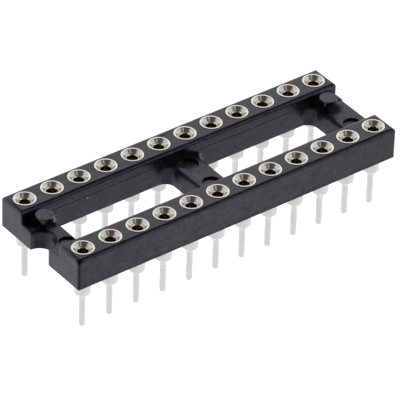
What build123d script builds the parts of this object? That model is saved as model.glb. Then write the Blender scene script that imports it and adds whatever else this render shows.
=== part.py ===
"""Open-frame dip socket with turned contacts, each a solder sleeve with a sprung clip pressed into it.

Sizes are in millimetres and angles in degrees. The origin is the centre of the contact pattern, on the
board that the sleeves' shoulders stand on. +X runs along the two rows, away from the index notch, +Y runs
across them towards the posts, and +Z points out of the mouths.
"""

import os
from math import radians, tan

from build123d import *

# Contact pattern
CONTACTS_PER_ROW = 12
PITCH = 2.54
ROW_SPACING = 7.62

# Moulded housing: two rails that hold the contacts, tied by three lower cross bars with a window either
# side of the middle one; each draft is the lean of a window's walls
END_MARGIN = 1.27
SIDE_MARGIN = 1.27
RAIL_WIDTH = 2.64
BODY_HEIGHT = 2.72
BAR_HEIGHT = 1.64
END_BAR_WIDTH = 2.42
MIDDLE_BAR_WIDTH = 2.42
WINDOW_CORNER_RADIUS = 0.9
BAR_WALL_DRAFT = 5
RAIL_WALL_DRAFT = 1
RAIL_EDGE_RADIUS = 0.3
BAR_EDGE_RADIUS = 0.2
UPRIGHT_EDGE_RADIUS = 0.12
NOTCH_RADIUS = 1.19

# Parting step along the rails' inner walls: from this height over the bars down, the wall stands proud
PARTING_OVER_BARS = 0.12
PARTING_STEP = 0.03

# Shallow round dents that the ejector pins leave in the bars; an inset is taken from the housing's end
DENT_RADIUS = 0.76
DENT_DEPTH = 0.18
LEFT_DENT_INSET = 1.61
RIGHT_DENT_INSET = 1.39
DENT_FROM_RAIL = 1.04
MIDDLE_DENT_FROM_RAIL = 0.91

# Mushroom posts on the end bars, beside the rail opposite the dents; each stem stands off its head's centre
POST_FOOT_RADIUS = 0.16
POST_WAIST_RADIUS = 0.22
POST_WAIST_HEIGHT = 0.32
LEFT_NECK_RADIUS = 0.58
RIGHT_NECK_RADIUS = 0.27
POST_HEAD_RADIUS = 0.71
POST_HEAD_THICKNESS = 0.1
POST_HEIGHT = 1.02
LEFT_POST_INSET = 1.41
RIGHT_POST_INSET = 1.66
POST_FROM_RAIL = 1.07
LEFT_STEM_OFFSET = 0.11
RIGHT_STEM_OFFSET = 0.2

# Sliver of flash that leans on the left-hand bar beside its post
FLASH_WIDTH = 0.2
FLASH_THICKNESS = 0.07
FLASH_HEIGHT = 0.5
FLASH_LEAN = 14
FLASH_INSET = 2.18
FLASH_FROM_RAIL = 1.17

# Gate stub that is left where the housing was filled, on the end away from the notch
GATE_LENGTH = 0.8
GATE_WIDTH = 0.34
GATE_HEIGHT = 0.03

# Turned sleeve
SLEEVE_HEIGHT = 4.19
RIM_PROUD = 0.03
HEAD_DIAMETER = 1.83
HEAD_THICKNESS = 0.45
BARREL_DIAMETER = 1.32
TAIL_DIAMETER = 0.51
TAIL_LENGTH = 3.18
TIP_CHAMFER = 0.1
MOUTH_DIAMETER = 1.54
MOUTH_STRAIGHT = 0.07
LEAD_IN_DEPTH = 0.19
BORE_DIAMETER = 1.06
BORE_DEPTH = 3.3

# Clip, stamped and rolled: a collar that carries the funnel and four fingers
COLLAR_HEIGHT = 0.7
THROAT_DIAMETER = 0.83
FUNNEL_DEPTH = 0.04
FINGER_COUNT = 4
FINGER_THICKNESS = 0.08
FINGER_WIDTH = 0.3
FINGER_LENGTH = 1.6
FINGER_TIP_GAP = 0.32

# Fits; the moulded holes flare towards their open ends, as the core pins that form them are tapered
SLEEVE_CLEARANCE = 0.015
CLIP_CLEARANCE = 0.01
HOLE_FLARE = 0.02

body_length = (CONTACTS_PER_ROW - 1) * PITCH + 2 * END_MARGIN
body_width = ROW_SPACING + 2 * SIDE_MARGIN
rail_gap = body_width - 2 * RAIL_WIDTH
body_top = SLEEVE_HEIGHT - RIM_PROUD
body_bottom = body_top - BODY_HEIGHT
bar_top = body_bottom + BAR_HEIGHT
window_length = (body_length - 2 * END_BAR_WIDTH - MIDDLE_BAR_WIDTH) / 2
window_offset = (window_length + MIDDLE_BAR_WIDTH) / 2
window_width = rail_gap - 2 * PARTING_STEP


def contact_places():
    """Name suffix, x and y of every contact, counted round from the notch as the pins are numbered."""
    row_start = -(CONTACTS_PER_ROW - 1) * PITCH / 2
    steps = [row_start + i * PITCH for i in range(CONTACTS_PER_ROW)]
    front = [(x, -ROW_SPACING / 2) for x in steps]
    back = [(x, ROW_SPACING / 2) for x in reversed(steps)]
    return [(f"{number:02d}", x, y) for number, (x, y) in enumerate(front + back, start=1)]


def turned(profile):
    """Solid turned about Z from (radius, height) points."""
    return revolve(Plane.XZ * make_face(Polyline(*profile, close=True)), Axis.Z)


def rail():
    """The back rail, full height: rounded top, eased uprights and the parting step on its inner wall."""
    block = Pos(0, rail_gap / 2, body_bottom) * Box(
        body_length, RAIL_WIDTH, BODY_HEIGHT, align=(Align.CENTER, Align.MIN, Align.MIN)
    )
    block = fillet(block.faces().sort_by(Axis.Z)[-1].edges(), RAIL_EDGE_RADIUS)
    block = fillet(block.edges().filter_by(Axis.Z), UPRIGHT_EDGE_RADIUS)
    step = Pos(0, rail_gap / 2, body_bottom) * Box(
        body_length - 2 * UPRIGHT_EDGE_RADIUS,
        2 * PARTING_STEP,
        BAR_HEIGHT + PARTING_OVER_BARS,
        align=(Align.CENTER, Align.CENTER, Align.MIN),
    )
    return block + step


def window():
    """What one window cuts away: its walls lean in towards the bottom, the bars' more than the rails'."""
    top = RectangleRounded(window_length, window_width, WINDOW_CORNER_RADIUS)
    foot = RectangleRounded(
        window_length - 2 * BAR_HEIGHT * tan(radians(BAR_WALL_DRAFT)),
        window_width - 2 * BAR_HEIGHT * tan(radians(RAIL_WALL_DRAFT)),
        WINDOW_CORNER_RADIUS,
    )
    return loft([Pos(0, 0, body_bottom) * foot, Pos(0, 0, bar_top) * top], ruled=True)


def bar_slab():
    """The three bars as one slab, with the index notch, the two windows and eased top edges."""
    outline = RectangleRounded(body_length, body_width, UPRIGHT_EDGE_RADIUS)
    outline -= Pos(-body_length / 2, 0) * Circle(NOTCH_RADIUS)
    slab = extrude(Pos(0, 0, body_bottom) * outline, BAR_HEIGHT)
    opening = window()
    slab -= [Pos(side * window_offset, 0) * opening for side in (-1, 1)]
    return fillet(slab.faces().sort_by(Axis.Z)[-1].edges(), BAR_EDGE_RADIUS)


def dents():
    """The ejector dents: one by the front rail on each bar, and one by the back rail on the middle bar."""
    front_y = -rail_gap / 2 + DENT_FROM_RAIL
    places = [
        (LEFT_DENT_INSET - body_length / 2, front_y),
        (0, front_y),
        (body_length / 2 - RIGHT_DENT_INSET, front_y),
        (0, rail_gap / 2 - MIDDLE_DENT_FROM_RAIL),
    ]
    floor = bar_top - DENT_DEPTH
    return [Pos(x, y, floor) * extrude(Circle(DENT_RADIUS), DENT_DEPTH) for x, y in places]


def post(stem_offset, neck_radius):
    """A mushroom post: a stem that widens upwards, and a thin round head that it carries off centre."""
    neck = POST_HEIGHT - POST_HEAD_THICKNESS
    side = [(POST_FOOT_RADIUS, 0), (POST_WAIST_RADIUS, POST_WAIST_HEIGHT), (neck_radius, neck)]
    stem = turned([(0, 0), *side, (0, neck)])
    head = extrude(Circle(POST_HEAD_RADIUS), POST_HEAD_THICKNESS)
    return Pos(-stem_offset, 0) * stem + Pos(0, 0, neck) * head


def posts():
    """Both posts in place on the end bars."""
    y = rail_gap / 2 - POST_FROM_RAIL
    left = Pos(LEFT_POST_INSET - body_length / 2, y, bar_top) * post(LEFT_STEM_OFFSET, LEFT_NECK_RADIUS)
    right = Pos(body_length / 2 - RIGHT_POST_INSET, y, bar_top) * post(RIGHT_STEM_OFFSET, RIGHT_NECK_RADIUS)
    return [left, right]


def flash():
    """The sliver of flash, its foot sunk into the bar by its own thickness so that the lean leaves no gap."""
    length = FLASH_HEIGHT + FLASH_THICKNESS
    sliver = Box(FLASH_WIDTH, FLASH_THICKNESS, length, align=(Align.CENTER, Align.CENTER, Align.MIN))
    x = FLASH_INSET - body_length / 2
    y = rail_gap / 2 - FLASH_FROM_RAIL
    return Pos(x, y, bar_top - FLASH_THICKNESS) * Rot(0, FLASH_LEAN, 0) * sliver


def gate_stub():
    """The stub of the gate, on the outer edge of the right-hand bar against the back rail."""
    return Pos(body_length / 2, rail_gap / 2, bar_top - BAR_EDGE_RADIUS) * Box(
        GATE_WIDTH, GATE_LENGTH, GATE_HEIGHT + BAR_EDGE_RADIUS, align=(Align.MAX, Align.MAX, Align.MIN)
    )


def contact_hole():
    """The stepped hole for one sleeve, which its head sits down in; both steps flare to their open ends."""
    head_floor = SLEEVE_HEIGHT - HEAD_THICKNESS
    head_radius = HEAD_DIAMETER / 2 + SLEEVE_CLEARANCE
    barrel_radius = BARREL_DIAMETER / 2 + SLEEVE_CLEARANCE
    return turned(
        [
            (0, body_bottom),
            (barrel_radius + HOLE_FLARE, body_bottom),
            (barrel_radius, head_floor),
            (head_radius, head_floor),
            (head_radius + HOLE_FLARE, body_top),
            (0, body_top),
        ]
    )


def housing():
    """The housing in one moulding."""
    back = rail()
    solid = back + Rot(0, 0, 180) * back + bar_slab() + posts() + flash() + gate_stub()
    solid -= dents()
    hole = contact_hole()
    solid -= [Pos(x, y, 0) * hole for _, x, y in contact_places()]
    return solid


def sleeve():
    """One turned sleeve: flanged head, cone into a blind bore, barrel, shoulder and solder tail."""
    head_floor = SLEEVE_HEIGHT - HEAD_THICKNESS
    cone_top = SLEEVE_HEIGHT - MOUTH_STRAIGHT
    tip = -TAIL_LENGTH
    return turned(
        [
            (0, SLEEVE_HEIGHT - BORE_DEPTH),
            (BORE_DIAMETER / 2, SLEEVE_HEIGHT - BORE_DEPTH),
            (BORE_DIAMETER / 2, cone_top - LEAD_IN_DEPTH),
            (MOUTH_DIAMETER / 2, cone_top),
            (MOUTH_DIAMETER / 2, SLEEVE_HEIGHT),
            (HEAD_DIAMETER / 2, SLEEVE_HEIGHT),
            (HEAD_DIAMETER / 2, head_floor),
            (BARREL_DIAMETER / 2, head_floor),
            (BARREL_DIAMETER / 2, 0),
            (TAIL_DIAMETER / 2, 0),
            (TAIL_DIAMETER / 2, tip + TIP_CHAMFER),
            (TAIL_DIAMETER / 2 - TIP_CHAMFER, tip),
            (0, tip),
        ]
    )


def clip():
    """One clip: a collar with a funnel for the lead, and fingers that close in below it."""
    top = SLEEVE_HEIGHT - MOUTH_STRAIGHT - LEAD_IN_DEPTH
    root = top - COLLAR_HEIGHT
    outer = BORE_DIAMETER / 2 - CLIP_CLEARANCE
    throat = THROAT_DIAMETER / 2
    collar = turned([(outer, top), (outer, root), (throat, root), (throat, top - FUNNEL_DEPTH)])
    tip = root - FINGER_LENGTH
    tip_radius = FINGER_TIP_GAP / 2
    side = Polyline(
        (throat, root),
        (throat + FINGER_THICKNESS, root),
        (tip_radius + FINGER_THICKNESS, tip),
        (tip_radius, tip),
        close=True,
    )
    finger = extrude(Plane.XZ * make_face(side), FINGER_WIDTH / 2, both=True)
    return collar + [Rot(0, 0, turn * 360 / FINGER_COUNT) * finger for turn in range(FINGER_COUNT)]


def main():
    os.makedirs("parts", exist_ok=True)
    export_step(housing(), "parts/housing.step")
    one_sleeve = sleeve()
    one_clip = clip()
    for suffix, x, y in contact_places():
        export_step(Pos(x, y, 0) * one_sleeve, f"parts/sleeve_{suffix}.step")
        export_step(Pos(x, y, 0) * one_clip, f"parts/clip_{suffix}.step")


main()
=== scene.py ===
"""Looks of an open-frame dip socket: a moulded ladder frame with two rows of turned contacts."""

import logging
import math
from dataclasses import dataclass, field
from enum import Enum
from typing import Any

import bpy
import numpy as np
from mathutils import Matrix, Vector


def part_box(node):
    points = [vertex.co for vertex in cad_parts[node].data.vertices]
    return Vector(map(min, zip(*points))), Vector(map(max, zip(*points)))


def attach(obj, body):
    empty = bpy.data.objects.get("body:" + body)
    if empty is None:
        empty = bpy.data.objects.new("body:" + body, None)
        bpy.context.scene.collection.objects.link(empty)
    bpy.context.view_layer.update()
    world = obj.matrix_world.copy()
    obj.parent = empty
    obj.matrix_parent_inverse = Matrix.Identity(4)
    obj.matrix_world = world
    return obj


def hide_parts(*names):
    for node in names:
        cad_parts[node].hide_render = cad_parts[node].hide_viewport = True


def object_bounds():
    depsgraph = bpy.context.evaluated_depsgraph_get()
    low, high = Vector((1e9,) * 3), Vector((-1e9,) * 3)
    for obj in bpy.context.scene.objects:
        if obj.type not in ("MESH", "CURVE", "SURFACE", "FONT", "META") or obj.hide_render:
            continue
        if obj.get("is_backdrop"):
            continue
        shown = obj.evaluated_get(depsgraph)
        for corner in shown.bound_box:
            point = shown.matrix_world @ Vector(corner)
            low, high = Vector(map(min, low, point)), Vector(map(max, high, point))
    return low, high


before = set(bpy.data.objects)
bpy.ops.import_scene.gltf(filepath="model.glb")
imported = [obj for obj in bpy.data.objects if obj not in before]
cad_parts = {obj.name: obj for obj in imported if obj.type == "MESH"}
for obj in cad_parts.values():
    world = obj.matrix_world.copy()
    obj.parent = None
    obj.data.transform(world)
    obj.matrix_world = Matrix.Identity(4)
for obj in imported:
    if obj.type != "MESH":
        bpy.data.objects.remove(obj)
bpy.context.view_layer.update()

# Blender's types, by short names.
Tree = bpy.types.NodeTree
Socket = bpy.types.NodeSocket
Material = bpy.types.Material
Piece = bpy.types.Object

LOG = logging.getLogger("dip_socket")
MM = 0.001
CONTACTS = 24

# The map that turned and rolled pieces carry: turns in u, millimetres along the profile in v.
TURNING = "turning"

# Faces that meet at more than this keep a sharp edge between them.
SHARP_ANGLE = math.radians(32)

# Sides of a corner that are within this of one line, in radians, leave nothing to round.
STRAIGHT_WITHIN = 1e-3

# Nearly every value of a noise texture lies between these two.
NOISE_RANGE = {"From Min": 0.3, "From Max": 0.7}


class Slot(Enum):
    """Material slots of the record."""

    HOUSING = "housing_plastic"
    SLEEVE = "tinned_brass"
    CLIP = "gilt_clip"


def linear(colour: str) -> tuple[float, float, float, float]:
    """Turn an sRGB hex colour into linear light.

    Args:
        colour: six hex digits after a hash.

    Returns:
        Red, green, blue and an alpha of 1.
    """
    coded = np.array([int(colour[i : i + 2], 16) / 255 for i in (1, 3, 5)])
    light = np.where(coded <= 0.04045, coded / 12.92, ((coded + 0.055) / 1.055) ** 2.4)
    return (*light.tolist(), 1.0)


def add_node(tree: Tree, kind: str, inputs: dict[Any, Any] | None = None, **settings: Any) -> Any:
    """Add a node with its settings, values and links.

    Args:
        tree: the node tree that it goes into.
        kind: the node's type name.
        inputs: for each input's name or number, a value or the socket that feeds it.
        **settings: the node's own properties.

    Returns:
        The new node.
    """
    node = tree.nodes.new(kind)
    for name, value in settings.items():
        setattr(node, name, value)
    for key, value in (inputs or {}).items():
        if isinstance(value, Socket):
            tree.links.new(value, node.inputs[key])
        else:
            node.inputs[key].default_value = value
    return node


def new_material(name: str) -> tuple[Material, Any]:
    """Make a material that holds one principled shader.

    Args:
        name: the material's name.

    Returns:
        The material and its shader node.
    """
    material = bpy.data.materials.new(name)
    material.use_nodes = True
    return material, material.node_tree.nodes["Principled BSDF"]


@dataclass(frozen=True)
class Patch:
    """A soft-edged ellipsoid where a finish differs. Centre and half-sizes in millimetres.

    Its amount is the share of the pale colour that it adds, or the change that it makes to the gloss.
    """

    centre: tuple[float, float, float]
    reach: tuple[float, float, float]
    amount: float = 1.0
    softness: float = 0.4

    def blend(self, tree: Tree, place: Socket, outside: float, inside: float) -> Socket:
        """Add the nodes that give one value in the patch and another outside it.

        Args:
            tree: the node tree that they go into.
            place: the point, in metres.
            outside: the value outside the patch.
            inside: the value well inside it.

        Returns:
            A socket with the value at the point.
        """
        centre = tuple(value * MM for value in self.centre)
        reach = tuple(value * MM for value in self.reach)
        offset = add_node(tree, "ShaderNodeVectorMath", {0: place, 1: centre}, operation="SUBTRACT")
        share = add_node(
            tree, "ShaderNodeVectorMath", {0: offset.outputs["Vector"], 1: reach}, operation="DIVIDE"
        )
        far = add_node(tree, "ShaderNodeVectorMath", {0: share.outputs["Vector"]}, operation="LENGTH")
        limits = {"From Min": 1.0, "From Max": 1.0 - self.softness, "To Min": outside, "To Max": inside}
        level = add_node(
            tree,
            "ShaderNodeMapRange",
            {"Value": far.outputs["Value"], **limits},
            interpolation_type="SMOOTHSTEP",
        )
        return level.outputs["Result"]


@dataclass(frozen=True)
class MouldedPlastic:
    """Glass-filled black thermoplastic, moulded in a spark-eroded tool.

    The eye gets a near-black body whose light is nearly all a cool, satin reflection: it is mottled by the
    fine grain of the tool and clouded where the fibres lie differently. The posts' heads keep the rings of
    the turned pins that formed them. Painted light and shade are laid in as well: pale colour paints a
    highlight on the torn flash and light on a post's flank and on the middle bar, and the gloss is raised to
    paint light and lowered to paint shade on the left end, round the posts, in corners, along edges and on
    the walls.
    A spread or a contrast is how far a value goes either way of its middle.
    """

    name: str = "moulded_black_thermoplastic"
    colour: str = "#08080b"
    pale_and_painted_light_colour: str = "#c4c5c9"
    tint: str = "#eceffe"
    roughness: float = 0.3
    roughness_spread: float = 0.04
    specular: float = 0.58
    # By a guess a real tool's grain is nearer 0.03 mm, too fine to show, so it is drawn this coarse.
    grain_mm: float = 0.16
    grain_depth_mm: float = 0.0035
    grain_contrast: float = 0.26
    cloud_mm: float = 0.6
    cloud_contrast: float = 0.18
    streak_mm: tuple[float, float, float] = (2.0, 0.3, 0.3)
    streak_depth_mm: float = 0.003
    streak_contrast: float = 0.1
    ring_centres: tuple[tuple[float, float], ...] = ((-13.83, 1.37), (13.58, 1.37))
    ring_level_mm: float = 4.1
    ring_reach_mm: tuple[float, float, float] = (0.9, 0.9, 0.3)
    ring_pitch_mm: float = 0.2
    ring_contrast: float = 0.16
    pale_and_painted_light_patches: tuple[Patch, ...] = (
        # The torn sliver of flash beside the left-hand post, painted pale as a highlight.
        Patch((-13.02, 1.27, 3.36), (0.14, 0.2, 0.42)),
        # A nick in the parting step of the back rail.
        Patch((-9.06, 2.42, 3.045), (0.12, 0.1, 0.035)),
        # Painted light on the flank of the left-hand post.
        Patch((-14.15, 1.1, 3.62), (0.5, 0.5, 0.42), 0.16),
        # Faint painted light on top of the middle bar, by its back dent.
        Patch((-0.3, 1.5, 3.0), (1.1, 0.9, 0.25), 0.05),
    )
    gloss_and_painted_light_patches: tuple[Patch, ...] = (
        # The rails' tops, a little smoother than the walls.
        Patch((0.0, 0.0, 4.3), (40.0, 12.0, 0.7), 0.04),
        # Painted light on the left end's face, and in it painted shade at the foot of the index notch.
        Patch((-15.24, 0.0, 2.8), (0.4, 9.0, 4.0), 0.4),
        Patch((-15.24, 0.0, 1.9), (1.5, 1.5, 1.2), -0.45),
        # The tops of the end bars round the posts, in the posts' shade.
        Patch((-13.9, 1.3, 3.08), (1.5, 1.1, 0.2), -0.95, 0.6),
        Patch((13.65, 1.2, 3.08), (1.25, 1.3, 0.2), -0.95, 0.5),
        # Painted shade along the eased left-hand edges of the middle bar and of the right-hand bar.
        Patch((-1.2, 0.0, 3.0), (0.28, 2.9, 0.35), -0.35, 0.6),
        Patch((12.78, 0.0, 3.0), (0.28, 2.9, 0.35), -0.6, 0.6),
        # Painted shade along the front left upright edge, which looks rounder for it, and on its upper
        # corner.
        Patch((-15.2, -5.04, 2.8), (0.32, 0.32, 3.5), -0.55, 0.6),
        Patch((-15.2, -5.04, 4.1), (0.5, 0.5, 0.45), -0.8, 0.6),
        # Painted shade along the foot of the front wall.
        Patch((0.0, -5.08, 1.44), (40.0, 0.3, 0.5), -0.22, 0.9),
        # The back rail's inner wall, from the top: painted shade, a painted highlight line, painted shade.
        Patch((0.0, 2.5, 4.05), (40.0, 0.13, 0.13), -0.2, 0.7),
        Patch((0.0, 2.46, 3.97), (40.0, 0.13, 0.12), 0.5, 0.9),
        Patch((0.0, 2.44, 3.7), (40.0, 0.2, 0.45), -0.14, 0.9),
        # The top of the right-hand bar.
        Patch((13.9, -0.2, 3.08), (1.7, 2.5, 0.2), -0.16, 0.9),
        # The middle of the front wall, a shade smoother than its ends.
        Patch((-3.0, -5.08, 2.8), (16.0, 0.2, 6.0), 0.17, 1.0),
    )

    def material(self) -> Material:
        """Build the material.

        Returns:
            The material.
        """
        material, shader = new_material(self.name)
        tree = material.node_tree
        place = add_node(tree, "ShaderNodeTexCoord").outputs["Object"]
        cloud = self.noise(tree, place, (self.cloud_mm,) * 3)
        grain = self.noise(tree, place, (self.grain_mm,) * 3)
        streaks = self.noise(tree, place, self.streak_mm)
        grain_bump = add_node(
            tree, "ShaderNodeBump", {"Height": grain, "Strength": 1.0, "Distance": self.grain_depth_mm * MM}
        )
        streak_bump = add_node(
            tree,
            "ShaderNodeBump",
            {
                "Height": streaks,
                "Strength": 1.0,
                "Distance": self.streak_depth_mm * MM,
                "Normal": grain_bump.outputs["Normal"],
            },
        )
        spreads = (
            (cloud, self.roughness, self.roughness_spread),
            (grain, self.specular, self.specular * self.grain_contrast),
            (streaks, 1.0, self.streak_contrast),
            (cloud, 1.0, self.cloud_contrast),
        )
        rough, *gloss = [
            add_node(
                tree,
                "ShaderNodeMapRange",
                {"Value": value, **NOISE_RANGE, "To Min": middle - half, "To Max": middle + half},
            ).outputs["Result"]
            for value, middle, half in spreads
        ]
        gloss += [self.rings(tree, place, centre) for centre in self.ring_centres]
        # Besides the finish, the gloss paints light and shade on the housing.
        gloss += [patch.blend(tree, place, 1.0, 1.0 + patch.amount) for patch in self.gloss_and_painted_light_patches]
        # The pale patches paint a highlight and light, besides a pale nick.
        pale = [patch.blend(tree, place, 0.0, patch.amount) for patch in self.pale_and_painted_light_patches]
        colour = add_node(
            tree,
            "ShaderNodeMix",
            {
                "Factor": self.joined(tree, pale, "MAXIMUM"),
                "A": linear(self.colour),
                "B": linear(self.pale_and_painted_light_colour),
            },
            data_type="RGBA",
        )
        shader.inputs["Specular Tint"].default_value = linear(self.tint)
        tree.links.new(colour.outputs["Result"], shader.inputs["Base Color"])
        tree.links.new(self.joined(tree, gloss, "MULTIPLY"), shader.inputs["Specular IOR Level"])
        tree.links.new(rough, shader.inputs["Roughness"])
        tree.links.new(streak_bump.outputs["Normal"], shader.inputs["Normal"])
        return material

    @staticmethod
    def noise(tree: Tree, place: Socket, size_mm: tuple[float, float, float]) -> Socket:
        """Add the nodes for noise with lumps of one size.

        Args:
            tree: the node tree that they go into.
            place: the point, in metres.
            size_mm: the lumps' size along each axis, in millimetres.

        Returns:
            A socket with the noise at the point.
        """
        scale = tuple(1 / (size * MM) for size in size_mm)
        scaled = add_node(tree, "ShaderNodeMapping", {"Vector": place, "Scale": scale})
        lumps = add_node(
            tree, "ShaderNodeTexNoise", {"Vector": scaled.outputs["Vector"], "Scale": 1.0, "Detail": 2.0}
        )
        return lumps.outputs["Fac"]

    @staticmethod
    def joined(tree: Tree, values: list[Socket], operation: str) -> Socket:
        """Join several sockets into one, two at a time.

        Args:
            tree: the node tree that the nodes go into.
            values: the sockets, at least one.
            operation: the name of what is done with each two, such as MULTIPLY or MAXIMUM.

        Returns:
            A socket with the joined value.
        """
        total = values[0]
        for value in values[1:]:
            pair = add_node(tree, "ShaderNodeMath", {0: total, 1: value}, operation=operation)
            total = pair.outputs["Value"]
        return total

    def rings(self, tree: Tree, place: Socket, centre: tuple[float, float]) -> Socket:
        """Add the nodes for the gloss of the rings on a post's head.

        The gloss is one plus the contrast times the sine of the distance from the axis in turns of the
        pitch, within the head's radius and height.

        Args:
            tree: the node tree that they go into.
            place: the point, in metres.
            centre: x and y of the head's axis, in millimetres.

        Returns:
            A socket with the factor for the gloss.
        """
        axis = (centre[0] * MM, centre[1] * MM, 0.0)
        offset = add_node(tree, "ShaderNodeVectorMath", {0: place, 1: axis}, operation="SUBTRACT")
        level = add_node(
            tree,
            "ShaderNodeVectorMath",
            {0: offset.outputs["Vector"], 1: (1.0, 1.0, 0.0)},
            operation="MULTIPLY",
        )
        away = add_node(tree, "ShaderNodeVectorMath", {0: level.outputs["Vector"]}, operation="LENGTH")
        turns = 2 * math.pi / (self.ring_pitch_mm * MM)
        phase = add_node(tree, "ShaderNodeMath", {0: away.outputs["Value"], 1: turns}, operation="MULTIPLY")
        wave = add_node(tree, "ShaderNodeMath", {0: phase.outputs["Value"]}, operation="SINE")
        head = Patch((*centre, self.ring_level_mm), self.ring_reach_mm)
        strength = head.blend(tree, place, 0.0, self.ring_contrast)
        factor = add_node(
            tree, "ShaderNodeMath", {0: wave.outputs["Value"], 1: strength, 2: 1.0}, operation="MULTIPLY_ADD"
        )
        return factor.outputs["Value"]


@dataclass(frozen=True)
class MattSkin:
    """Plating that is left matt past a point on the profile.

    The eye gets an even pale grey there, which scatters the room's light and mirrors nothing, so it is no
    metal to the shader.
    """

    colour: str
    from_mm: float
    added_roughness: float
    fade_mm: float = 0.1

    def cover(self, tree: Tree, shader: Any, along: Socket) -> None:
        """Mix the skin over what feeds the shader so far.

        Args:
            tree: the metal's node tree.
            shader: its shader node, whose colour and roughness have their links.
            along: millimetres along the profile.
        """
        limits = {"From Min": self.from_mm, "From Max": self.from_mm + self.fade_mm}
        share = add_node(tree, "ShaderNodeMapRange", {"Value": along, **limits}).outputs["Result"]
        bare_colour, bare_rough = (
            shader.inputs[name].links[0].from_socket for name in ("Base Color", "Roughness")
        )
        colour = add_node(
            tree,
            "ShaderNodeMix",
            {"Factor": share, "A": bare_colour, "B": linear(self.colour)},
            data_type="RGBA",
        )
        metal = add_node(tree, "ShaderNodeMapRange", {"Value": share, "To Min": 1.0, "To Max": 0.0})
        rough = add_node(
            tree,
            "ShaderNodeMath",
            {0: share, 1: self.added_roughness, 2: bare_rough},
            operation="MULTIPLY_ADD",
        )
        tree.links.new(colour.outputs["Result"], shader.inputs["Base Color"])
        tree.links.new(metal.outputs["Result"], shader.inputs["Metallic"])
        tree.links.new(rough.outputs["Value"], shader.inputs["Roughness"])


@dataclass(frozen=True)
class PlatedMetal:
    """Metal that was turned or rolled, then plated.

    The eye gets a pale mirror that is broken round the axis by the fine marks of the tool, and a little
    clouded by the plating, so highlights run as soft bands along each pin. Up to a point on the profile it
    has its inner colour, which is warmer.
    """

    name: str
    colour: str
    inner_colour: str
    inner_to_mm: float
    roughness: float
    roughness_spread: float
    mark_pitch_mm: float
    mark_depth_mm: float
    skin: MattSkin | None = None
    inner_fade_mm: float = 0.08
    marks_per_turn: float = 1.5
    cloud_mm: float = 0.5

    def material(self) -> Material:
        """Build the material.

        Returns:
            The material, which reads the piece's own turning map.
        """
        material, shader = new_material(self.name)
        tree = material.node_tree
        turn = add_node(tree, "ShaderNodeUVMap", uv_map=TURNING).outputs["UV"]
        along = add_node(tree, "ShaderNodeSeparateXYZ", {"Vector": turn}).outputs["Y"]
        scale = (self.marks_per_turn, 1 / self.mark_pitch_mm, 1.0)
        marks_at = add_node(tree, "ShaderNodeMapping", {"Vector": turn, "Scale": scale})
        marks = add_node(
            tree,
            "ShaderNodeTexNoise",
            {"Vector": marks_at.outputs["Vector"], "Scale": 1.0, "Detail": 2.0},
            noise_dimensions="2D",
        )
        bump = add_node(
            tree,
            "ShaderNodeBump",
            {"Height": marks.outputs["Fac"], "Strength": 1.0, "Distance": self.mark_depth_mm * MM},
        )
        place = add_node(tree, "ShaderNodeTexCoord").outputs["Object"]
        cloud = add_node(
            tree, "ShaderNodeTexNoise", {"Vector": place, "Scale": 1 / (self.cloud_mm * MM), "Detail": 2.0}
        )
        rough = add_node(
            tree,
            "ShaderNodeMapRange",
            {
                "Value": cloud.outputs["Fac"],
                **NOISE_RANGE,
                "To Min": self.roughness,
                "To Max": self.roughness + self.roughness_spread,
            },
        )
        limits = {"From Min": self.inner_to_mm, "From Max": self.inner_to_mm - self.inner_fade_mm}
        inside = add_node(tree, "ShaderNodeMapRange", {"Value": along, **limits})
        colour = add_node(
            tree,
            "ShaderNodeMix",
            {"Factor": inside.outputs["Result"], "A": linear(self.colour), "B": linear(self.inner_colour)},
            data_type="RGBA",
        )
        shader.inputs["Metallic"].default_value = 1.0
        tree.links.new(colour.outputs["Result"], shader.inputs["Base Color"])
        tree.links.new(rough.outputs["Result"], shader.inputs["Roughness"])
        tree.links.new(bump.outputs["Normal"], shader.inputs["Normal"])
        if self.skin:
            self.skin.cover(tree, shader, along)
        return material


# Warmer in the bore, the cone and the lip, and a little darker there as painted shade in the mouth; matt from
# the head's side down to the tail's tip.
TIN_PLATING = PlatedMetal(
    name="tin_plated_turned_brass",
    colour="#cccdca",
    inner_colour="#cac6bb",
    inner_to_mm=3.95,
    roughness=0.14,
    roughness_spread=0.06,
    mark_pitch_mm=0.05,
    mark_depth_mm=0.0008,
    skin=MattSkin(colour="#f3f3f0", from_mm=4.4, added_roughness=0.41),
)

# Golden on the outside and in the throat, and paler on the funnel and the lip.
GOLD_FLASH = PlatedMetal(
    name="gold_flashed_rolled_strip",
    colour="#e2dcc6",
    inner_colour="#c9b680",
    inner_to_mm=1.45,
    roughness=0.2,
    roughness_spread=0.08,
    mark_pitch_mm=0.12,
    mark_depth_mm=0.001,
)


def rounded(corners: list[tuple[float, float, float]], steps: int = 6) -> np.ndarray:
    """Round the corners of an open profile.

    Each corner with a radius is replaced by an arc that is tangent to both of its sides: the arc's centre
    lies on the corner's bisector, and its points are the centre plus the radius along evenly spread angles.

    Args:
        corners: radius from the axis, height and corner radius of each point, in millimetres.
        steps: straight pieces in each arc.

    Returns:
        The points of the profile, one row each.
    """
    points = np.array(corners)[:, :2]
    pieces = [points[:1]]
    for before, here, after, radius in zip(points[:-2], points[1:-1], points[2:], np.array(corners)[1:-1, 2]):
        back, on = (before - here), (after - here)
        back, on = back / np.linalg.norm(back), on / np.linalg.norm(on)
        half = math.acos(np.clip(back @ on, -1, 1)) / 2
        if radius <= 0 or half > math.pi / 2 - STRAIGHT_WITHIN:
            pieces.append(here[None])
            continue
        middle = here + (back + on) / np.linalg.norm(back + on) * radius / math.sin(half)
        start = here + back * radius / math.tan(half) - middle
        end = here + on * radius / math.tan(half) - middle
        share = np.linspace(0, 1, steps + 1)[:, None]
        sweep = math.pi - 2 * half
        arc = (start * np.sin((1 - share) * sweep) + end * np.sin(share * sweep)) / math.sin(sweep)
        pieces.append(middle + arc)
    pieces.append(points[-1:])
    return np.vstack(pieces)


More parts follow.
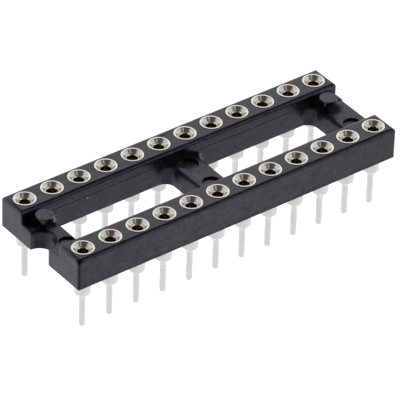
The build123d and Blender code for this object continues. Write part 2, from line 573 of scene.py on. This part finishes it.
def new_piece(name: str, points: np.ndarray, faces: list[Any], flow: np.ndarray | None = None) -> Piece:
    """Make an object from points and faces, smooth except across real edges.

    Args:
        name: the piece's name.
        points: the vertices, in metres, in the part's frame.
        faces: arrays of vertex numbers, each array with one number of corners.
        flow: for each face corner, its place on the turning map; none is written without it.

    Returns:
        The new object, at the origin.
    """
    mesh = bpy.data.meshes.new(name)
    mesh.from_pydata(points.tolist(), [], [face for block in faces for face in block.tolist()])
    if flow is not None:
        mesh.uv_layers.new(name=TURNING).data.foreach_set("uv", flow.astype(np.float32).ravel())
    mesh.shade_smooth()
    mesh.set_sharp_from_angle(angle=SHARP_ANGLE)
    piece = bpy.data.objects.new(name, mesh)
    bpy.context.scene.collection.objects.link(piece)
    return piece


def turned_piece(name: str, profile: np.ndarray, centre: np.ndarray, segments: int = 48) -> Piece:
    """Turn a profile that starts and ends on the axis into a closed piece.

    A point of the surface is the centre plus the profile's radius times the cosine and sine of the turn,
    at the profile's height. The two ends are single points, closed by fans.

    Args:
        name: the piece's name.
        profile: radius and height of each point, in millimetres, from one pole to the other.
        centre: x and y of the axis, in metres.
        segments: steps round the axis.

    Returns:
        The new object.
    """
    turn = np.arange(segments) / segments * 2 * math.pi
    inner = profile[1:-1]
    ring = np.stack(
        [
            centre[0] + inner[:, :1] * MM * np.cos(turn),
            centre[1] + inner[:, :1] * MM * np.sin(turn),
            np.repeat(inner[:, 1:] * MM, segments, axis=1),
        ],
        axis=2,
    ).reshape(-1, 3)
    poles = np.array([[*centre, profile[0, 1] * MM], [*centre, profile[-1, 1] * MM]])
    along = np.r_[0, np.cumsum(np.hypot(*np.diff(profile, axis=0).T))]
    rows = len(inner)
    row, step = np.meshgrid(np.arange(rows - 1), np.arange(segments), indexing="ij")
    row, step = row.ravel(), step.ravel()
    onward = (step + 1) % segments
    here, next_row = row * segments, (row + 1) * segments
    quads = np.stack([here + step, here + onward, next_row + onward, next_row + step], axis=1)
    quad_flow = np.stack(
        [
            np.stack([step, step + 1, step + 1, step], axis=1) / segments,
            np.stack([along[row + 1], along[row + 1], along[row + 2], along[row + 2]], axis=1),
        ],
        axis=2,
    )
    spoke = np.arange(segments)
    first_pole, last_pole = (np.full(segments, rows * segments + end) for end in (0, 1))
    last = (rows - 1) * segments
    first_fan = np.stack([(spoke + 1) % segments, spoke, first_pole], axis=1)
    last_fan = np.stack([last + spoke, last + (spoke + 1) % segments, last_pole], axis=1)
    first_turn = np.stack([spoke + 1, spoke, spoke + 0.5], axis=1) / segments
    last_turn = np.stack([spoke, spoke + 1, spoke + 0.5], axis=1) / segments
    first_along = np.tile([along[1], along[1], along[0]], (segments, 1))
    last_along = np.tile([along[-2], along[-2], along[-1]], (segments, 1))
    first_flow = np.stack([first_turn, first_along], axis=2)
    last_flow = np.stack([last_turn, last_along], axis=2)
    flow = np.vstack([part.reshape(-1, 2) for part in (quad_flow, first_flow, last_flow)])
    return new_piece(name, np.vstack([ring, poles]), [quads, first_fan, last_fan], flow)


def upright(node: str) -> tuple[np.ndarray, float, float]:
    """Find where a sleeve or a clip stands, from its node's box, whose middle is its axis.

    Args:
        node: the node's name.

    Returns:
        x and y of the axis in metres, then the heights of its top and its tip in millimetres.
    """
    low, high = (np.array(corner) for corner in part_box(node))
    return (low[:2] + high[:2]) / 2, high[2] / MM, low[2] / MM


@dataclass
class Sleeve:
    """One turned sleeve: rim, lead-in cone, blind bore, barrel, shoulder and tail. Sizes in millimetres."""

    number: int
    rim_edge: float = 0.025
    lip_edge: float = 0.012
    barrel_edge: float = 0.1
    tip_edge: float = 0.2
    mouth_radius: float = 0.77
    lip_depth: float = 0.025
    cone_depth: float = 0.235
    bore_radius: float = 0.53
    bore_depth: float = 3.3
    head_radius: float = 0.915
    head_thickness: float = 0.45
    barrel_radius: float = 0.66
    tail_radius: float = 0.255

    @property
    def node(self) -> str:
        """Name of the sleeve's node."""
        return f"sleeve_{self.number:02d}"

    def build(self) -> Piece:
        """Turn the sleeve from its rounded profile.

        Returns:
            The piece that stands for the node.
        """
        centre, rim, tip = upright(self.node)
        profile = rounded(
            [
                (0, rim - self.bore_depth, 0),
                (self.bore_radius, rim - self.bore_depth, 0),
                (self.bore_radius, rim - self.lip_depth - self.cone_depth, 0),
                (self.mouth_radius, rim - self.lip_depth, self.lip_edge),
                (self.mouth_radius, rim, self.lip_edge),
                (self.head_radius, rim, self.rim_edge),
                (self.head_radius, rim - self.head_thickness, 0),
                (self.barrel_radius, rim - self.head_thickness, 0),
                (self.barrel_radius, 0, self.barrel_edge),
                (self.tail_radius, 0, 0),
                (self.tail_radius, tip, self.tip_edge),
                (0, tip, 0),
            ]
        )
        piece = turned_piece(f"turned_{self.node}", profile, centre)
        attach(piece, "root")
        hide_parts(self.node)
        return piece


@dataclass
class Clip:
    """One clip: a rolled collar with a lip and a funnel, and fingers that close in below it.

    Sizes are in millimetres, apart from the finger's half-width, which is a turn in radians.
    """

    number: int
    funnel_radius: float = 0.49
    funnel_depth: float = 0.1
    funnel_edge: float = 0.02
    lip_drop: float = 0.008
    throat_radius: float = 0.415
    collar_radius: float = 0.52
    collar_height: float = 0.7
    collar_steps: int = 48
    finger_count: int = 4
    finger_thickness: float = 0.07
    finger_turn: float = math.radians(34)
    finger_root_rise: float = 0.02
    finger_bow: float = 1.3
    finger_rows: int = 9
    finger_columns: int = 7
    tip_radius: float = 0.16

    @property
    def node(self) -> str:
        """Name of the clip's node."""
        return f"clip_{self.number:02d}"

    def build(self) -> Piece:
        """Roll the clip: its closed section goes right round for the collar and part way for each finger.

        Returns:
            The piece that stands for the node.
        """
        centre, top, tip = upright(self.node)
        root = top - self.collar_height
        collar_turn = np.arange(self.collar_steps + 1) / self.collar_steps * 2 * math.pi
        finger_turn = np.linspace(-self.finger_turn, self.finger_turn, self.finger_columns)
        bands = [(self.collar_section(top, root), collar_turn)]
        for finger in range(self.finger_count):
            middle = finger * 2 * math.pi / self.finger_count
            bands.append((self.finger_section(root, tip), middle + finger_turn))
        points, faces, flow, start = [], [], [], 0
        for section, turn in bands:
            block, quads, lie = swept_band(section, turn, centre)
            points.append(block)
            faces.append(quads + start)
            flow.append(lie)
            start += len(block)
        piece = new_piece(f"rolled_{self.node}", np.vstack(points), faces, np.vstack(flow))
        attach(piece, "root")
        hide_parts(self.node)
        return piece

    def collar_section(self, top: float, root: float) -> np.ndarray:
        """Draw the collar's closed section: down the outside, up the throat, over the funnel and the lip.

        Args:
            top: height of the collar's upper edge, in millimetres.
            root: height of its lower edge.

        Returns:
            Radius and height of each point, the first not repeated at the end.
        """
        return rounded(
            [
                (self.collar_radius, top, 0),
                (self.collar_radius, root, 0),
                (self.throat_radius, root, 0),
                (self.throat_radius, top - self.funnel_depth, self.funnel_edge),
                (self.funnel_radius, top - self.lip_drop, self.funnel_edge),
                (self.collar_radius, top, 0),
            ]
        )[:-1]

    def finger_section(self, root: float, tip: float) -> np.ndarray:
        """Draw a finger's closed section.

        The finger leans in from the throat by a quarter of a sine, raised to the power of the bow, so that
        it starts straight down and eases off at the tip.

        Args:
            root: height of the collar's lower edge, in millimetres, which the finger starts just above.
            tip: height of the finger's tip.

        Returns:
            Radius and height of each point, down the outside and up the inside.
        """
        share = np.linspace(0, 1, self.finger_rows)
        lean = np.sin(share * math.pi / 2) ** self.finger_bow
        inside = self.throat_radius + (self.tip_radius - self.throat_radius) * lean
        start = root + self.finger_root_rise
        height = start + (tip - start) * share
        inner = np.stack([inside, height], axis=1)
        outer = np.stack([inside + self.finger_thickness, height], axis=1)
        return np.vstack([outer, inner[::-1]])


def swept_band(
    section: np.ndarray, turn: np.ndarray, centre: np.ndarray
) -> tuple[np.ndarray, np.ndarray, np.ndarray]:
    """Carry a closed section round an axis, right round or part way with flat ends.

    A point is the centre plus the section's radius times the cosine and sine of the turn, at its height.

    Args:
        section: radius and height of the closed section's points, in millimetres, anticlockwise seen with
            the radius to the right.
        turn: the angles, in radians; the last repeats the first where the band closes on itself.
        centre: x and y of the axis, in metres.

    Returns:
        The points in metres, the faces, and the map of each face corner.
    """
    closed = math.isclose(turn[-1] - turn[0], 2 * math.pi)
    ring = turn[:-1] if closed else turn
    count, steps = len(section), len(ring)
    radius = section[:, :1] * MM
    points = np.stack(
        [
            centre[0] + radius * np.cos(ring),
            centre[1] + radius * np.sin(ring),
            np.repeat(section[:, 1:] * MM, steps, axis=1),
        ],
        axis=2,
    ).reshape(-1, 3)
    edge, step = np.meshgrid(np.arange(count), np.arange(len(turn) - 1), indexing="ij")
    edge, step = edge.ravel(), step.ravel()
    onward, across = (step + 1) % steps, (edge + 1) % count
    quads = np.stack(
        [edge * steps + step, edge * steps + onward, across * steps + onward, across * steps + step], axis=1
    )
    along = np.r_[0, np.cumsum(np.hypot(*np.diff(np.vstack([section, section[:1]]), axis=0).T))]
    share = turn / (2 * math.pi)
    flow = np.stack(
        [
            np.stack([share[step], share[step + 1], share[step + 1], share[step]], axis=1),
            np.stack([along[edge], along[edge], along[edge + 1], along[edge + 1]], axis=1),
        ],
        axis=2,
    ).reshape(-1, 2)
    if closed:
        return points, quads, flow
    half = count // 2
    near = np.arange(half - 1)
    far = count - 1 - near
    first = np.stack([near, near + 1, far - 1, far], axis=1) * steps
    ends = np.vstack([first, first[:, ::-1] + steps - 1])
    return points, np.vstack([quads, ends]), np.vstack([flow, np.zeros((ends.size, 2))])


@dataclass
class Housing:
    """The moulded frame: the solid's own shape, welded, with its sharp edges just broken.

    Triangles within the flat angle of each other are joined into whole faces, and edges past the sharp
    angle are broken.
    """

    node: str = "housing"
    weld_mm: float = 0.0005
    flat_angle: float = math.radians(0.5)
    sharp_angle: float = math.radians(40)
    broken_edge_mm: float = 0.08

    def build(self) -> Piece:
        """Weld a copy of the node's mesh and break its edges, with the shading kept flat on its flat faces.

        Returns:
            The piece that stands for the node.
        """
        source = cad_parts[self.node]
        piece = source.copy()
        piece.data = source.data.copy()
        piece.name = f"moulded_{self.node}"
        piece.hide_render = piece.hide_viewport = False
        bpy.context.scene.collection.objects.link(piece)
        weld = piece.modifiers.new("weld", "WELD")
        weld.merge_threshold = self.weld_mm * MM
        flat = piece.modifiers.new("whole flat faces", "DECIMATE")
        flat.decimate_type = "DISSOLVE"
        flat.angle_limit = self.flat_angle
        edge = piece.modifiers.new("broken edges", "BEVEL")
        edge.width = self.broken_edge_mm * MM
        edge.segments = 2
        edge.limit_method = "ANGLE"
        edge.angle_limit = self.sharp_angle
        flats = piece.modifiers.new("flat faces lead", "WEIGHTED_NORMAL")
        flats.weight = 100
        flats.keep_sharp = True
        piece.data.shade_smooth()
        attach(piece, "root")
        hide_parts(self.node)
        return piece


@dataclass
class Camera:
    """The photograph's viewpoint. Lengths in millimetres, angles in degrees."""

    azimuth: float = -37.93
    elevation: float = 36.02
    roll: float = 1.88
    distance: float = 345.9
    lens: float = 403.06
    sensor: float = 36.0
    aim: tuple[float, float, float] = (0.0, 0.0, 4.19)
    slide_right: float = -0.1
    slide_up: float = -2.96
    nearest: float = 10.0
    farthest: float = 10000.0

    def build(self) -> Piece:
        """Place the camera on its ray to the socket and make it the scene's own.

        Returns:
            The camera.
        """
        turn, rise = math.radians(self.azimuth), math.radians(self.elevation)
        back = Vector((math.sin(turn) * math.cos(rise), -math.cos(turn) * math.cos(rise), math.sin(rise)))
        right = (-back).cross(Vector((0, 0, 1))).normalized()
        roll = Matrix.Rotation(math.radians(-self.roll), 3, -back)
        right = roll @ right
        up = right.cross(-back)
        place = Vector(self.aim) + back * self.distance + right * self.slide_right + up * self.slide_up
        data = bpy.data.cameras.new("camera")
        data.lens = self.lens
        data.sensor_width = self.sensor
        data.clip_start, data.clip_end = self.nearest * MM, self.farthest * MM
        camera = bpy.data.objects.new("camera", data)
        camera.matrix_world = Matrix.Translation(place * MM) @ Matrix((right, up, back)).transposed().to_4x4()
        bpy.context.scene.collection.objects.link(camera)
        bpy.context.scene.camera = camera
        return camera


@dataclass(frozen=True)
class Softbox:
    """One soft lamp. Places and sizes in metres."""

    name: str
    place: tuple[float, float, float]
    size: tuple[float, float]
    power: float
    colour: str = "#ffffff"

    def build(self) -> Piece:
        """Hang the lamp so that it faces the socket.

        Returns:
            The lamp.
        """
        data = bpy.data.lights.new(self.name, "AREA")
        data.shape = "RECTANGLE"
        data.size, data.size_y = self.size
        data.energy = self.power
        data.color = linear(self.colour)[:3]
        lamp = bpy.data.objects.new(self.name, data)
        lamp.location = self.place
        lamp.rotation_euler = Vector(self.place).to_track_quat("Z", "Y").to_euler()
        bpy.context.scene.collection.objects.link(lamp)
        return lamp


@dataclass
class Studio:
    """A glowing white table in a white room with an unlit ceiling, where one tall slit lets light in.

    The camera sees the table and its glow lights the socket's matt surfaces, but no reflection shows it:
    what the socket mirrors is the room, above and below. The room's light is the product of two profiles:
    one by the height of a direction, as the sine of its elevation, and one by how far the direction leans
    towards the camera, where light from the floor fills in below the horizon. It never falls below the
    dimmest.
    """

    wall_colour: str = "#fefdff"
    by_height: tuple[tuple[float, float], ...] = (
        (-1.0, 0.5), (-0.8, 0.7), (-0.66, 1.0), (0.0, 1.0), (0.6, 1.0), (0.76, 0.06), (1.0, 0.05)
    )
    by_side: tuple[tuple[float, float], ...] = (
        (-1.0, 1.0), (-0.7, 1.0), (-0.35, 0.66), (0.33, 0.72), (0.6, 0.05), (1.0, 0.05)
    )
    floor_fill: tuple[tuple[float, float], ...] = ((-1.0, 0.47), (-0.35, 0.47), (-0.05, 0.0), (1.0, 0.0))
    brightest: float = 1.42
    dimmest: float = 0.1
    viewer_azimuth: float = Camera.azimuth
    floor_colour: str = "#ffffff"
    floor_glow: float = 1.17
    floor_size: float = 6.0
    lamps: list[Softbox] = field(
        default_factory=lambda: [Softbox("ceiling_slit", (-0.05, -0.62, 0.78), (0.16, 0.35), 0.12)]
    )

    def build(self) -> None:
        """Build the room, the table and the lamps."""
        self.build_room()
        self.build_table()
        for lamp in self.lamps:
            lamp.build()

    def build_room(self) -> None:
        """Light the world by the height and the side of each direction."""
        world = bpy.data.worlds.new("studio")
        world.use_nodes = True
        tree = world.node_tree
        way = add_node(tree, "ShaderNodeTexCoord").outputs["Generated"]
        turn = math.radians(self.viewer_azimuth)
        to_viewer = (math.sin(turn), -math.cos(turn), 0.0)
        height = add_node(tree, "ShaderNodeSeparateXYZ", {"Vector": way}).outputs["Z"]
        lean = add_node(tree, "ShaderNodeVectorMath", {0: way, 1: to_viewer}, operation="DOT_PRODUCT")
        light = self.profile(tree, lean.outputs["Value"], self.by_side)
        for operation, other in (
            ("MAXIMUM", self.profile(tree, height, self.floor_fill)),
            ("MULTIPLY", self.profile(tree, height, self.by_height)),
            ("MULTIPLY", self.brightest),
            ("MAXIMUM", self.dimmest),
        ):
            step = add_node(tree, "ShaderNodeMath", {0: light, 1: other}, operation=operation)
            light = step.outputs["Value"]
        background = tree.nodes["Background"]
        background.inputs["Color"].default_value = linear(self.wall_colour)
        tree.links.new(light, background.inputs["Strength"])
        bpy.context.scene.world = world

    @staticmethod
    def profile(tree: Tree, value: Socket, stops: tuple[tuple[float, float], ...]) -> Socket:
        """Add the nodes that ease from stop to stop.

        Args:
            tree: the node tree that they go into.
            value: a number from -1 to 1.
            stops: pairs of a number and the level there, in order.

        Returns:
            A socket with the level.
        """
        share = add_node(tree, "ShaderNodeMapRange", {"Value": value, "From Min": -1.0, "From Max": 1.0})
        ramp = add_node(tree, "ShaderNodeValToRGB", {"Fac": share.outputs["Result"]})
        ramp.color_ramp.interpolation = "EASE"
        elements = ramp.color_ramp.elements
        # A new ramp has two elements, which take the first two stops.
        for number, (at, level) in enumerate(stops):
            element = elements[number] if number < 2 else elements.new((at + 1) / 2)
            element.position = (at + 1) / 2
            element.color = (level, level, level, 1.0)
        return ramp.outputs["Color"]

    def build_table(self) -> None:
        """Lay the table under the tails' tips: a sheet that gives back no light but its own glow."""
        low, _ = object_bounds()
        signs = np.array([[-1, -1], [1, -1], [1, 1], [-1, 1]])
        corners = np.column_stack([signs * self.floor_size / 2, np.full(4, low[2])])
        table = new_piece("light_table", corners, [np.arange(4)[None]])
        material, shader = new_material("opal_light_panel")
        shader.inputs["Base Color"].default_value = linear("#000000")
        shader.inputs["Specular IOR Level"].default_value = 0.0
        shader.inputs["Roughness"].default_value = 1.0
        shader.inputs["Emission Color"].default_value = linear(self.floor_colour)
        shader.inputs["Emission Strength"].default_value = self.floor_glow
        table.data.materials.append(material)
        table.visible_glossy = False
        table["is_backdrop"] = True


def dress(piece: Piece, material: Material) -> None:
    """Give a piece one material on all its faces."""
    piece.data.materials.clear()
    piece.data.materials.append(material)


def main() -> None:
    """Build the camera, the studio and the socket's pieces in order, and report each."""
    logging.basicConfig(level=logging.INFO, format="%(name)s: %(message)s")
    bpy.context.scene.view_settings.view_transform = "Standard"
    Camera().build()
    Studio().build()
    housing = Housing().build()
    dress(housing, MouldedPlastic().material())
    LOG.info("built %s", housing.name)
    tin, gold = TIN_PLATING.material(), GOLD_FLASH.material()
    for number in range(1, CONTACTS + 1):
        for part, material in ((Sleeve(number), tin), (Clip(number), gold)):
            piece = part.build()
            dress(piece, material)
            LOG.info("built %s", piece.name)


if __name__ == "__main__":
    main()
